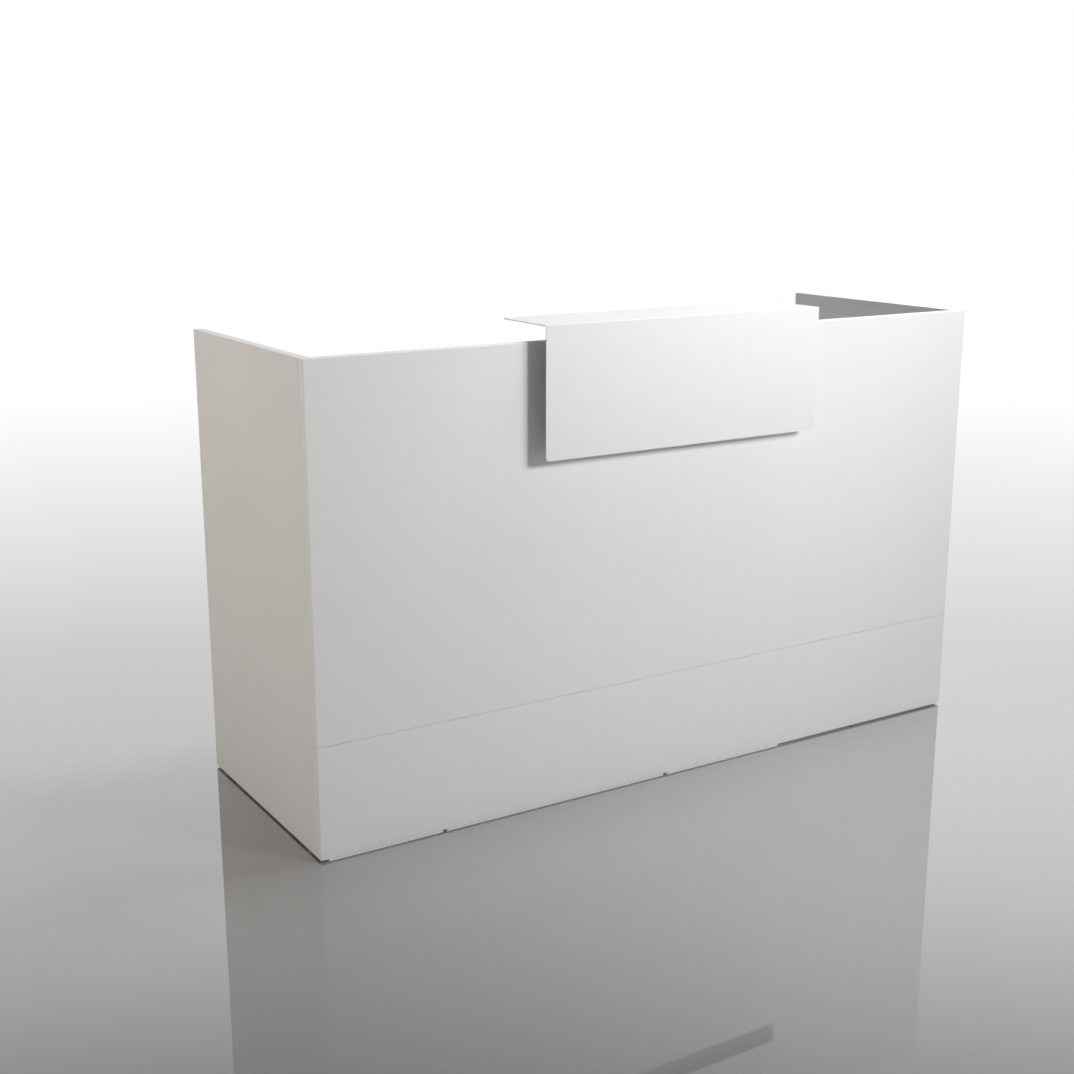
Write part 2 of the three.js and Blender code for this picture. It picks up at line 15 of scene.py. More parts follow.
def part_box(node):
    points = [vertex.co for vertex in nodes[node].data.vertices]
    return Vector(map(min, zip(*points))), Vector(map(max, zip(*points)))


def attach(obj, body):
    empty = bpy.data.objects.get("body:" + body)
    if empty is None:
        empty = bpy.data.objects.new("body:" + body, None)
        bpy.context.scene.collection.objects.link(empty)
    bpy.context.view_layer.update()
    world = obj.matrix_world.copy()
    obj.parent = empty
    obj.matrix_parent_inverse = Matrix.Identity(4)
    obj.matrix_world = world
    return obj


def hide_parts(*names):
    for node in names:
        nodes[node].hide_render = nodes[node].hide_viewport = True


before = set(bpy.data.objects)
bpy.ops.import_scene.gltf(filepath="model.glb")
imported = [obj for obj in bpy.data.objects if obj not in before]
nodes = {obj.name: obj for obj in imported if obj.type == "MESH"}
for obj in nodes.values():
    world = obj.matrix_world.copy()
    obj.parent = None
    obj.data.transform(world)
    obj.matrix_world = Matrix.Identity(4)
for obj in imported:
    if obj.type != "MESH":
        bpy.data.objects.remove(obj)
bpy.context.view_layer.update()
scene = bpy.context.scene
scene.view_settings.view_transform = "Standard"
MM = 0.001
X, Y, Z = Vector((1, 0, 0)), Vector((0, 1, 0)), Vector((0, 0, 1))
CARCASS = "carcass"

# %% [markdown]
# ## Camera
# The desk was photographed from the visitor's left, a little below standing eye height, with a slightly
# long lens. The place, the turn and the lens were solved from the corners of the boards, so they are
# written here as plain sizes, measured from the middle of the front's face.

# %% Camera
CAMERA_LEFT = 2.1537
CAMERA_AWAY = 2.8424
CAMERA_HEIGHT = 1.4987
CAMERA_TURN = 31.86
CAMERA_DIP = 14.07
CAMERA_LENS = 51.2
SENSOR_WIDTH = 36
front_face_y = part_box("front_panel")[0].y

camera_data = bpy.data.cameras.new("camera")
camera_data.sensor_width = SENSOR_WIDTH
camera_data.lens = CAMERA_LENS
camera = bpy.data.objects.new("camera", camera_data)
camera.location = (-CAMERA_LEFT, front_face_y - CAMERA_AWAY, CAMERA_HEIGHT)
camera.rotation_euler = (math.radians(90 - CAMERA_DIP), 0, math.radians(-CAMERA_TURN))
scene.collection.objects.link(camera)
scene.camera = camera
print("camera at", tuple(camera.location))

# %% [markdown]
# ## Node helpers
# Shader graphs get long when every socket is wired by hand. These few helpers add a node, feed each of its
# sockets from a number or from another socket, and hand back the output, so that a finish further down
# reads like the recipe it is.

# %% Node helpers
def feed(tree, socket, term):
    if isinstance(term, bpy.types.NodeSocket):
        tree.links.new(term, socket)
    else:
        socket.default_value = term


def calc(tree, operation, *terms):
    node = tree.nodes.new("ShaderNodeMath")
    node.operation = operation
    for socket, term in zip(node.inputs, terms):
        feed(tree, socket, term)
    return node.outputs[0]


def vector_calc(tree, operation, *terms):
    node = tree.nodes.new("ShaderNodeVectorMath")
    node.operation = operation
    for socket, term in zip(node.inputs, terms):
        feed(tree, socket, term)
    return node.outputs[0]


def split(tree, vector):
    node = tree.nodes.new("ShaderNodeSeparateXYZ")
    feed(tree, node.inputs[0], vector)
    return node.outputs


def remap(tree, value, from_low, from_high, to_low, to_high):
    node = tree.nodes.new("ShaderNodeMapRange")
    for socket, term in zip(node.inputs, (value, from_low, from_high, to_low, to_high)):
        feed(tree, socket, term)
    return node.outputs[0]


def mix_colour(tree, share, first, second):
    node = tree.nodes.new("ShaderNodeMix")
    node.data_type = "RGBA"
    for index, term in ((0, share), (6, first), (7, second)):
        feed(tree, node.inputs[index], term)
    return node.outputs[2]


def noise(tree, vector, scale, detail=2.0):
    node = tree.nodes.new("ShaderNodeTexNoise")
    feed(tree, node.inputs["Vector"], vector)
    feed(tree, node.inputs["Scale"], scale)
    node.inputs["Detail"].default_value = detail
    return node.outputs["Fac"]


def bump(tree, height, strength, distance):
    node = tree.nodes.new("ShaderNodeBump")
    node.inputs["Strength"].default_value = strength
    node.inputs["Distance"].default_value = distance
    feed(tree, node.inputs["Height"], height)
    return node.outputs["Normal"]


print("node helpers ready")


# %% Group and finish helpers
def new_group(name, inputs, outputs):
    tree = bpy.data.node_groups.new(name, "ShaderNodeTree")
    for direction, sockets in (("INPUT", inputs), ("OUTPUT", outputs)):
        for label, kind in sockets:
            tree.interface.new_socket(label, in_out=direction, socket_type="NodeSocket" + kind)
    return tree, tree.nodes.new("NodeGroupInput").outputs, tree.nodes.new("NodeGroupOutput").inputs


def use_group(tree, group, **terms):
    node = tree.nodes.new("ShaderNodeGroup")
    node.node_tree = group
    for label, term in terms.items():
        feed(tree, node.inputs[label.replace("_", " ").title()], term)
    return node.outputs


def new_finish(name):
    material = bpy.data.materials.new(name)
    material.use_nodes = True
    tree = material.node_tree
    place = tree.nodes.new("ShaderNodeTexCoord").outputs["Object"]
    return material, tree, tree.nodes["Principled BSDF"].inputs, place


def paint(solid, finish):
    solid.data.materials.clear()
    solid.data.materials.append(finish)


print("group and finish helpers ready")

# %% [markdown]
# ## Studio
# A polished grey floor runs out to a white surround. It mirrors more towards the horizon, as any polished
# floor does, so the floor fades to white by itself and no wall is needed. How much it mirrors at each tilt
# is a ramp on the Facing output of a Layer Weight node, which sets the share of a glossy shader.

# %% Floor
FLOOR_HALF = 60.0

floor_mesh = bpy.data.meshes.new("studio_floor")
floor_bm = bmesh.new()
bmesh.ops.create_grid(floor_bm, x_segments=1, y_segments=1, size=FLOOR_HALF)
floor_bm.to_mesh(floor_mesh)
floor_bm.free()
floor = bpy.data.objects.new("studio_floor", floor_mesh)
scene.collection.objects.link(floor)
print("floor laid")

# %% Floor finish
WHITE = (1, 1, 1, 1)
FLOOR_GREY = (0.280, 0.280, 0.276, 1)
POLISH = 0.02
MIRROR_STEPS = ((0.41, 0.0), (0.567, 0.36), (0.70, 0.55), (0.85, 1.0))

floor_finish = bpy.data.materials.new("polished_floor")
floor_finish.use_nodes = True
floor_tree = floor_finish.node_tree
floor_tree.nodes.clear()
floor_matt = floor_tree.nodes.new("ShaderNodeBsdfDiffuse")
floor_matt.inputs["Color"].default_value = FLOOR_GREY
floor_gloss = floor_tree.nodes.new("ShaderNodeBsdfAnisotropic")
floor_gloss.inputs["Color"].default_value = WHITE
floor_gloss.inputs["Roughness"].default_value = POLISH
floor_facing = floor_tree.nodes.new("ShaderNodeLayerWeight")
floor_ramp = floor_tree.nodes.new("ShaderNodeValToRGB")
feed(floor_tree, floor_ramp.inputs[0], floor_facing.outputs["Facing"])
stops = floor_ramp.color_ramp.elements
for index, (tilt, share) in enumerate(MIRROR_STEPS):
    stop = stops[index] if index == 0 else stops.new(tilt)
    stop.position = tilt
    stop.color = (share, share, share, 1)
floor_mirror = floor_ramp.outputs["Color"]
floor_mix = floor_tree.nodes.new("ShaderNodeMixShader")
feed(floor_tree, floor_mix.inputs[0], floor_mirror)
feed(floor_tree, floor_mix.inputs[1], floor_matt.outputs[0])
feed(floor_tree, floor_mix.inputs[2], floor_gloss.outputs[0])
floor_out = floor_tree.nodes.new("ShaderNodeOutputMaterial")
feed(floor_tree, floor_out.inputs["Surface"], floor_mix.outputs[0])
floor_mesh.materials.append(floor_finish)
print("floor mirrors in", len(MIRROR_STEPS), "steps")

# %% [markdown]
# The surround is white to the camera and to mirror rays. To all other rays it is only a weak, even fill,
# because the shading of the desk is the work of five softboxes. The key stands to the visitor's right at
# head height, narrowed by a grid, and sets the counter's shadow down and to the left. It is slim, so that
# shadow has a crisp core, and a wider box beside it softens the shadow's outer side. A wide box high above
# whitens the edges and tops. A warm box lights the left side, and one behind the desk lights its inside.
# Only the box above shows in the floor's mirror.

# %% Surround
FILL = 0.04

world = bpy.data.worlds.new("surround")
scene.world = world
world.use_nodes = True
world_tree = world.node_tree
sky = world_tree.nodes["Background"].inputs
sky["Color"].default_value = WHITE
rays = world_tree.nodes.new("ShaderNodeLightPath").outputs
seen = calc(world_tree, "MAXIMUM", rays["Is Camera Ray"], rays["Is Glossy Ray"])
seen = calc(world_tree, "MAXIMUM", seen, rays["Is Transmission Ray"])
feed(world_tree, sky["Strength"], remap(world_tree, seen, 0.0, 1.0, FILL, 1.0))
print("surround gives a fill of", FILL)

# %% Softboxes
NEUTRAL = (1.0, 1.0, 1.0)
WARM = (1.0, 0.89, 0.77)
MILD = (1.0, 0.93, 0.86)


def softbox(name, place, aim, size, power, tint, spread=180, mirrored=True):
    lamp = bpy.data.lights.new(name, "AREA")
    lamp.shape = "RECTANGLE"
    lamp.size, lamp.size_y = size
    lamp.energy = power
    lamp.color = tint
    lamp.spread = math.radians(spread)
    box = bpy.data.objects.new(name, lamp)
    box.location = place
    box.rotation_euler = (Vector(place) - Vector(aim)).to_track_quat("Z", "Y").to_euler()
    box.visible_camera = False
    box.visible_glossy = mirrored
    scene.collection.objects.link(box)
    print("softbox", name, "at", place, "gives", power, "W")


softbox("key_box", (0.80, -2.72, 1.95), (0.10, -0.30, 1.60), (0.25, 0.6), 11.3, NEUTRAL, 116, False)
softbox("side_box", (1.24, -2.60, 1.95), (0.02, -0.30, 1.60), (0.85, 0.6), 19.0, NEUTRAL, 116, False)
softbox("top_box", (1.50, -0.30, 4.40), (0.4, -0.45, 0.8), (1.2, 2.0), 121, NEUTRAL)
softbox("left_box", (-5.0, 0.2, 0.95), (-0.94, 0.1, 1.64), (1.6, 0.3), 14.0, WARM, 80, False)
softbox("back_box", (1.90, 3.00, 1.70), (0.0, 0.0, 0.75), (1.4, 1.4), 9, MILD, 120, False)

# %% [markdown]
# ## Effects that several finishes share
# Most finishes need the same three effects, so each is built once as a node group. Grain gives a fine
# texture and a slow drift of tone. Edges works out, for a board of known middle and size, where its edge
# band lies, where the hairline of glue shows, and how near the arris is. Streaks stretches a noise along one
# direction, as rolled or brushed metal shows.

# %% Grain
DRIFT_SCALE = 4.0
grain_tree, grain_in, grain_out = new_group(
    "grain", [("Place", "Vector"), ("Fineness", "Float")], [("Texture", "Float"), ("Drift", "Float")]
)
feed(grain_tree, grain_out["Texture"], noise(grain_tree, grain_in["Place"], grain_in["Fineness"], 3.0))
feed(grain_tree, grain_out["Drift"], noise(grain_tree, grain_in["Place"], DRIFT_SCALE, 4.0))
print("group:", grain_tree.name)

# %% Edges
BAND = 2 * MM
GLUE = 0.15 * MM
ARRIS = 1.6 * MM
edge_tree, edge_in, edge_out = new_group(
    "edges",
    [("Place", "Vector"), ("Middle", "Vector"), ("Half", "Vector"), ("Normal", "Vector")],
    [("Band", "Float"), ("Glue", "Float"), ("Arris", "Float")],
)
edge_off = vector_calc(edge_tree, "SUBTRACT", edge_in["Place"], edge_in["Middle"])
edge_room = vector_calc(edge_tree, "SUBTRACT", edge_in["Half"], vector_calc(edge_tree, "ABSOLUTE", edge_off))
edge_flat = vector_calc(edge_tree, "ADD", edge_room, edge_in["Normal"])
flat_x, flat_y, flat_z = split(edge_tree, edge_flat)
rim = calc(edge_tree, "MINIMUM", calc(edge_tree, "MINIMUM", flat_x, flat_y), flat_z)
feed(edge_tree, edge_out["Band"], calc(edge_tree, "LESS_THAN", rim, BAND))
feed(edge_tree, edge_out["Glue"], calc(edge_tree, "COMPARE", rim, BAND, GLUE))
room_x, room_y, room_z = split(edge_tree, edge_room)
lesser = calc(edge_tree, "MINIMUM", room_x, room_y)
greater = calc(edge_tree, "MAXIMUM", room_x, room_y)
middle_room = calc(edge_tree, "MAXIMUM", lesser, calc(edge_tree, "MINIMUM", greater, room_z))
feed(edge_tree, edge_out["Arris"], remap(edge_tree, middle_room, 0.0, ARRIS, 1.0, 0.0))
print("group:", edge_tree.name)

# %% Streaks
PATCH_SCALE = 120.0
streak_tree, streak_in, streak_out = new_group(
    "streaks", [("Place", "Vector"), ("Stretch", "Vector")], [("Streak", "Float"), ("Patch", "Float")]
)
stretched = vector_calc(streak_tree, "MULTIPLY", streak_in["Place"], streak_in["Stretch"])
feed(streak_tree, streak_out["Streak"], noise(streak_tree, stretched, 1.0, 4.0))
feed(streak_tree, streak_out["Patch"], noise(streak_tree, streak_in["Place"], PATCH_SCALE, 3.0))
print("group:", streak_tree.name)

# %% [markdown]
# ## White board
# The boards are particle board faced with white melamine, with a 2 mm plastic band glued round the edges. The
# face has a fine pearl texture that only shows close up, and it is satin, so it takes a broad, soft sheen.
# Each board gets a finish of its own, because its band and its glue line follow its own outline.

# %% White board
BOARD_WHITE = (0.800, 0.800, 0.792, 1)
BOARD_SHADE = (0.775, 0.776, 0.770, 1)
BAND_WHITE = (0.815, 0.815, 0.808, 1)
GLUE_GREY = (0.52, 0.51, 0.49, 1)
WORN_WHITE = (0.70, 0.69, 0.67, 1)
PEARL = 900.0
WEAR_SCALE = 26.0
GLUE_SHOWS = 0.45
GLUE_SINKS = 0.8


def board_finish(node, normal):
    low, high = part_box(node)
    material, tree, shader, place = new_finish("white_board_" + node)
    texture, drift = use_group(tree, grain_tree, place=place, fineness=PEARL)
    band, glue, arris = use_group(
        tree, edge_tree, place=place, middle=(low + high) / 2, half=(high - low) / 2, normal=normal
    )
    face = mix_colour(tree, drift, BOARD_WHITE, BOARD_SHADE)
    face = mix_colour(tree, band, face, BAND_WHITE)
    face = mix_colour(tree, calc(tree, "MULTIPLY", glue, GLUE_SHOWS), face, GLUE_GREY)
    wear = remap(tree, noise(tree, place, WEAR_SCALE), 0.52, 0.75, 0.0, 0.5)
    rubbed = calc(tree, "MULTIPLY", arris, wear)
    feed(tree, shader["Base Color"], mix_colour(tree, rubbed, face, WORN_WHITE))
    satin = remap(tree, drift, 0.3, 0.7, 0.44, 0.54)
    feed(tree, shader["Roughness"], calc(tree, "ADD", satin, calc(tree, "MULTIPLY", rubbed, 0.2)))
    relief = calc(tree, "SUBTRACT", texture, calc(tree, "MULTIPLY", glue, GLUE_SINKS))
    feed(tree, shader["Normal"], bump(tree, relief, 0.12, 0.12 * MM))
    paint(nodes[node], material)
    return material


for board, across in (
    ("front_panel", Y),
    ("plinth_panel", Y),
    ("side_panel_left", X),
    ("side_panel_right", X),
    ("worktop", Z),
):
    print("board finish:", board_finish(board, across).name)

# %% [markdown]
# ## Powder coat, zinc, plastic and beech
# The counter is sheet steel under a fine white powder coat, and the brackets carry a coarser grey one. Powder
# melts into a skin with a slight orange peel, which is the grain group at a wider scale. Cams, sleeves and
# screws are zinc plated, and the feet are zinc with a yellow passivation, whose tone drifts from straw to
# olive. The cable ports are a grey moulding, and the dowels are bare beech.

# %% Powder coats
def powder_finish(name, colour, shade, fineness, satin, peel):
    material, tree, shader, place = new_finish(name)
    texture, drift = use_group(tree, grain_tree, place=place, fineness=fineness)
    feed(tree, shader["Base Color"], mix_colour(tree, drift, colour, shade))
    feed(tree, shader["Roughness"], remap(tree, texture, 0.3, 0.7, satin - 0.05, satin + 0.05))
    feed(tree, shader["Normal"], bump(tree, texture, peel, 0.15 * MM))
    return material


counter_coat = powder_finish(
    "counter_powder_coat", (0.760, 0.760, 0.758, 1), (0.745, 0.745, 0.743, 1), 1100.0, 0.26, 0.08
)
bracket_coat = powder_finish(
    "bracket_powder_coat", (0.60, 0.61, 0.60, 1), (0.56, 0.57, 0.565, 1), 700.0, 0.50, 0.30
)
print("powder coats:", counter_coat.name, bracket_coat.name)


# %% Plated metals
def plated_finish(name, colour, drifted, stretch):
    material, tree, shader, place = new_finish(name)
    streak, patch = use_group(tree, streak_tree, place=place, stretch=stretch)
    feed(tree, shader["Base Color"], mix_colour(tree, patch, colour, drifted))
    feed(tree, shader["Roughness"], remap(tree, streak, 0.3, 0.7, 0.24, 0.44))
    feed(tree, shader["Normal"], bump(tree, streak, 0.10, 0.05 * MM))
    shader["Metallic"].default_value = 1.0
    return material


zinc_plate = plated_finish("zinc_plate", (0.66, 0.68, 0.70, 1), (0.56, 0.585, 0.62, 1), (900, 900, 5000))
yellow_zinc = plated_finish("yellow_zinc", (0.50, 0.40, 0.20, 1), (0.36, 0.33, 0.17, 1), (700, 700, 6000))
print("plated:", zinc_plate.name, yellow_zinc.name)


# %% Plastic and beech
def moulded_finish(name, colour, shade):
    material, tree, shader, place = new_finish(name)
    texture, drift = use_group(tree, grain_tree, place=place, fineness=1600.0)
    feed(tree, shader["Base Color"], mix_colour(tree, drift, colour, shade))
    feed(tree, shader["Roughness"], remap(tree, texture, 0.3, 0.7, 0.44, 0.58))
    feed(tree, shader["Normal"], bump(tree, texture, 0.25, 0.10 * MM))
    return material


def beech_finish(name):
    material, tree, shader, place = new_finish(name)
    streak, patch = use_group(tree, streak_tree, place=place, stretch=(1500, 1500, 90))
    figure = remap(tree, streak, 0.3, 0.7, 0.0, 1.0)
    feed(tree, shader["Base Color"], mix_colour(tree, figure, (0.60, 0.42, 0.25, 1), (0.72, 0.55, 0.36, 1)))
    feed(tree, shader["Roughness"], remap(tree, patch, 0.3, 0.7, 0.6, 0.8))
    feed(tree, shader["Normal"], bump(tree, streak, 0.3, 0.1 * MM))
    return material


port_plastic = moulded_finish("port_plastic", (0.66, 0.66, 0.645, 1), (0.63, 0.63, 0.62, 1))
beech = beech_finish("bare_beech")
print("moulded:", port_plastic.name, "turned:", beech.name)

# %% [markdown]
# ## Making pieces
# A new piece is drawn with bmesh operators where it belongs, so its object stays at the origin. Its shading
# is smooth, apart from edges sharper than a limit and from large flats, which would show a false sheen. A
# turned piece starts as half of its section, from the axis outwards, and is spun once round.

# %% Piece helpers
SHARP = math.radians(40)
FLAT_AREA = 0.01
WELD = 0.001 * MM


def make_piece(name, bm, finish, body=CARCASS):
    bmesh.ops.recalc_face_normals(bm, faces=bm.faces)
    mesh = bpy.data.meshes.new(name)
    bm.to_mesh(mesh)
    bm.free()
    for face in mesh.polygons:
        face.use_smooth = face.area < FLAT_AREA
    mesh.set_sharp_from_angle(angle=SHARP)
    mesh.materials.append(finish)
    piece = bpy.data.objects.new(name, mesh)
    scene.collection.objects.link(piece)
    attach(piece, body)
    return piece


def spun(profile, steps, closed=False):
    bm = bmesh.new()
    points = [bm.verts.new((radius, 0, height)) for radius, height in profile]
    pairs = list(zip(points, points[1:]))
    if closed:
        pairs.append((points[-1], points[0]))
    lines = [bm.edges.new(pair) for pair in pairs]
    bmesh.ops.spin(
        bm, geom=points + lines, axis=Z, cent=(0, 0, 0), angle=math.tau, steps=steps, use_merge=True
    )
    bmesh.ops.remove_doubles(bm, verts=bm.verts, dist=WELD)
    return bm


def thread(radius, depth, pitch, height, stop):
    ridges = []
    while height < stop:
        ridges += [(radius, height), (radius - depth, height + pitch / 2)]
        height += pitch
    return ridges


def add_copy(bm, template, place):
    before = len(bm.verts)
    bm.from_mesh(template)
    bm.verts.ensure_lookup_table()
    bmesh.ops.transform(bm, matrix=place, verts=bm.verts[before:])


def as_template(name, bm):
    bmesh.ops.recalc_face_normals(bm, faces=bm.faces)
    mesh = bpy.data.meshes.new(name)
    bm.to_mesh(mesh)
    bm.free()
    return mesh


def facing(place, outwards):
    return Matrix.Translation(place) @ Vector(outwards).to_track_quat("Z", "Y").to_matrix().to_4x4()


print("piece helpers ready")

# %% [markdown]
# ## Counter
# The counter is one sheet of steel: a shelf that runs back over the front and a flange that hangs before
# it. It could be a solid cut to shape, but a sheet is quicker to draw as its outer skin. Two edges are
# extruded along the desk, the free corners are rounded, and solidify gives the gauge towards the inside.
# The fold comes last. It is crisp on this desk, so its outer edge gets a bevel of 1 mm and no more, and a
# finer bevel dulls the sheared edges.

# %% Counter
GAUGE = 2.5 * MM
FOLD_RADIUS = 1 * MM
FREE_CORNER = 10 * MM
SHEARED_EDGE = 0.35 * MM
SHEARED_ANGLE = math.radians(60)
NEAR = 0.1 * MM
counter_low, counter_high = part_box("counter")

counter_bm = bmesh.new()
section = [
    counter_bm.verts.new((counter_low.x, counter_high.y, counter_high.z)),
    counter_bm.verts.new((counter_low.x, counter_low.y, counter_high.z)),
    counter_bm.verts.new((counter_low.x, counter_low.y, counter_low.z)),
]
skin = [counter_bm.edges.new(pair) for pair in zip(section, section[1:])]
drawn = bmesh.ops.extrude_edge_only(counter_bm, edges=skin)["geom"]
far_end = [part for part in drawn if isinstance(part, bmesh.types.BMVert)]
bmesh.ops.translate(counter_bm, vec=X * (counter_high.x - counter_low.x), verts=far_end)
corners = [vert for vert in counter_bm.verts if len(vert.link_faces) == 1]
bmesh.ops.bevel(
    counter_bm, geom=corners, offset=FREE_CORNER, offset_type="OFFSET", segments=8, profile=0.5,
    affect="VERTICES", material=-1,
)
bmesh.ops.recalc_face_normals(counter_bm, faces=counter_bm.faces)
counter_bm.faces.ensure_lookup_table()
if counter_bm.faces[0].normal.dot(Z - Y) < 0:
    bmesh.ops.reverse_faces(counter_bm, faces=counter_bm.faces)
bmesh.ops.solidify(counter_bm, geom=counter_bm.faces, thickness=GAUGE)
fold_line = Vector((counter_low.y, counter_high.z))
fold = [
    edge
    for edge in counter_bm.edges
    if all((vert.co.yz - fold_line).length < NEAR for vert in edge.verts)
]
bmesh.ops.bevel(
    counter_bm, geom=fold, offset=FOLD_RADIUS, offset_type="OFFSET", segments=4, profile=0.5,
    affect="EDGES", material=-1,
)
counter = make_piece("counter_sheet", counter_bm, counter_coat)
dulled = counter.modifiers.new("sheared_edge", "BEVEL")
dulled.width = SHEARED_EDGE
dulled.segments = 2
dulled.limit_method = "ANGLE"
dulled.angle_limit = SHEARED_ANGLE
dulled.harden_normals = True
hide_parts("counter")
print("counter sheet:", len(counter.data.polygons), "faces,", len(fold), "fold edge")

# %% [markdown]
# ## Plates, angles and cams
# The folded brackets, the angles under the worktop, the joint plates and the cams already have their shape.
# Pressed steel never has a razor edge, though, and light needs a rounded edge to catch on. So each is copied,
# its loose triangles are merged, its flats are joined into whole faces, and its sharp edges get a small
# bevel.

# %% Refined copies
FLAT = math.radians(1)
MERGE = 0.005 * MM
STEEL_EDGE = 0.4 * MM
CAM_EDGE = 0.2 * MM
LID_EDGE = 0.5 * MM
STEEL_KINDS = ("counter_bracket", "worktop_rail", "worktop_clip", "joint_plate")


def refined(node, finish, edge, body=CARCASS):
    bm = bmesh.new()
    bm.from_mesh(nodes[node].data)
    bmesh.ops.remove_doubles(bm, verts=bm.verts, dist=MERGE)
    bmesh.ops.dissolve_limit(
        bm, angle_limit=FLAT, use_dissolve_boundaries=False, verts=bm.verts, edges=bm.edges
    )
    piece = make_piece(node + "_dressed", bm, finish, body)
    rounded = piece.modifiers.new("rounded_edge", "BEVEL")
    rounded.width = edge
    rounded.segments = 2
    rounded.limit_method = "ANGLE"
    rounded.angle_limit = SHARP
    rounded.harden_normals = True
    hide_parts(node)
    return piece


steel_nodes = [n for n in nodes if n.startswith(STEEL_KINDS)]
for node in steel_nodes:
    refined(node, bracket_coat, STEEL_EDGE)
cam_nodes = [n for n in nodes if n.startswith("cam_lock")]
for node in cam_nodes:
    refined(node, zinc_plate, CAM_EDGE)
for side in ("left", "right"):
    lid = "port_lid_" + side
    refined(lid, port_plastic, LID_EDGE, body=lid)
print("refined:", len(steel_nodes), "steel pieces,", len(cam_nodes), "cams, 2 lids")

# %% [markdown]
# ## Hidden turned pieces
# Bolts, sleeves and dowels sit inside the boards, where nobody looks, so their solids stay as they are and
# only get their finish.

# %% Hidden pieces
for node, solid in nodes.items():
    if node.startswith(("cam_bolt", "foot_sleeve")):
        paint(solid, zinc_plate)
    elif node.startswith("seam_dowel"):
        paint(solid, beech)
print("hidden pieces finished")

# %% [markdown]
# ## Levelling feet
# A foot is a turned head on a threaded stud: a disc under the side panels, and a slim head in the rebate of
# the plinth. The head's rim is knurled for the fingers. The section is spun in steps that match the knurl,
# and every other column of the rim is then drawn in a little. The thread is a row of ridges at its pitch,
# which reads as a thread and keeps the mesh closed.

# %% Levelling feet
KNURL = 0.25 * MM
KNURL_PITCH = 1.4 * MM
PITCH = 1.25 * MM
THREAD_DEPTH = 0.5 * MM
EASE = 0.5 * MM
HEAD_GAP = 0.3 * MM
stud_radius = 4 * MM
head_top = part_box("plinth_panel")[0].z - HEAD_GAP


def foot_profile(radius, tip):
    section = [
        (0, 0),
        (radius - EASE, 0),
        (radius, EASE),
        (radius, head_top - EASE),
        (radius - EASE, head_top),
        (stud_radius - THREAD_DEPTH, head_top),
    ]
    section += thread(stud_radius, THREAD_DEPTH, PITCH, head_top + PITCH / 2, tip - 1.5 * PITCH)
    return section + [(stud_radius - EASE, tip), (0, tip)]


def turned_foot(radius, tip):
    steps = 2 * round(math.pi * radius / KNURL_PITCH)
    bm = spun(foot_profile(radius, tip), steps)
    for vert in bm.verts:
        reach = vert.co.xy.length
        column = round(math.atan2(vert.co.y, vert.co.x) / math.tau * steps)
        if reach > radius - KNURL and column % 2:
            vert.co.xy *= (reach - KNURL) / reach
    return bm


for node in [n for n in nodes if n.startswith("foot_") and "sleeve" not in n]:
    low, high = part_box(node)
    foot_bm = turned_foot((high.x - low.x) / 2, high.z)
    middle = ((low.x + high.x) / 2, (low.y + high.y) / 2, 0)
    bmesh.ops.translate(foot_bm, verts=foot_bm.verts, vec=middle)
    foot = make_piece("levelling_" + node, foot_bm, yellow_zinc, body=node)
    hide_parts(node)
    print(foot.name, "has", len(foot.data.polygons), "faces")

# %% [markdown]
# ## Cable ports
# A port's ring is spun from its section: a sleeve through the worktop, a thin rim that lies on it with a
# rounded outer edge, and a step inside for the lid.

# %% Port rings
RING_STEPS = 96
RIM_WIDTH = 6 * MM
RIM_GAP = 0.3 * MM
RIM_EDGE = 0.4 * MM
SLEEVE_WALL = 2.5 * MM
STEP_WIDTH = 2.5 * MM
STEP_DEPTH = 1.5 * MM
STEP_HEIGHT = 2 * MM
ROUND_TURNS = 6
ring_low, ring_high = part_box("port_ring_left")
rim_radius = (ring_high.x - ring_low.x) / 2
sleeve_radius = rim_radius - RIM_WIDTH
sleeve_bore = sleeve_radius - SLEEVE_WALL
step_radius = sleeve_bore - STEP_WIDTH
worktop_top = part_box("worktop")[1].z
rim_under = worktop_top + RIM_GAP
step_top = worktop_top - STEP_DEPTH
step_under = step_top - STEP_HEIGHT
rim_round = ring_high.z - rim_under

ring_profile = [
    (sleeve_bore, ring_low.z),
    (sleeve_radius, ring_low.z),
    (sleeve_radius, rim_under),
    (rim_radius, rim_under),
]
for turn in range(1, ROUND_TURNS + 1):
    angle = math.radians(90 / ROUND_TURNS * turn)
    ring_profile.append(
        (rim_radius - rim_round * (1 - math.cos(angle)), rim_under + rim_round * math.sin(angle))
    )
ring_profile += [
    (sleeve_bore + RIM_EDGE, ring_high.z),
    (sleeve_bore, ring_high.z - RIM_EDGE),
    (sleeve_bore, step_top),
    (step_radius, step_top),
    (step_radius, step_under),
    (sleeve_bore, step_under),
]
ring_template = as_template("ring_template", spun(ring_profile, RING_STEPS, closed=True))
for side in ("left", "right"):
    low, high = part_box("port_ring_" + side)
    bm = bmesh.new()
    add_copy(bm, ring_template, Matrix.Translation(((low.x + high.x) / 2, (low.y + high.y) / 2, 0)))
    ring = make_piece("port_ring_dressed_" + side, bm, port_plastic)
    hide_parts("port_ring_" + side)
print("port ring:", len(ring_template.polygons), "faces")

# %% [markdown]
# ## Screws
# The plates and angles are held by pan-head wood screws with a cross recess. A head starts as a small grid.
# Its border is drawn out to a circle, the cells that form a cross are pushed down, and the border is
# extruded to the plate. One template then serves every screw.

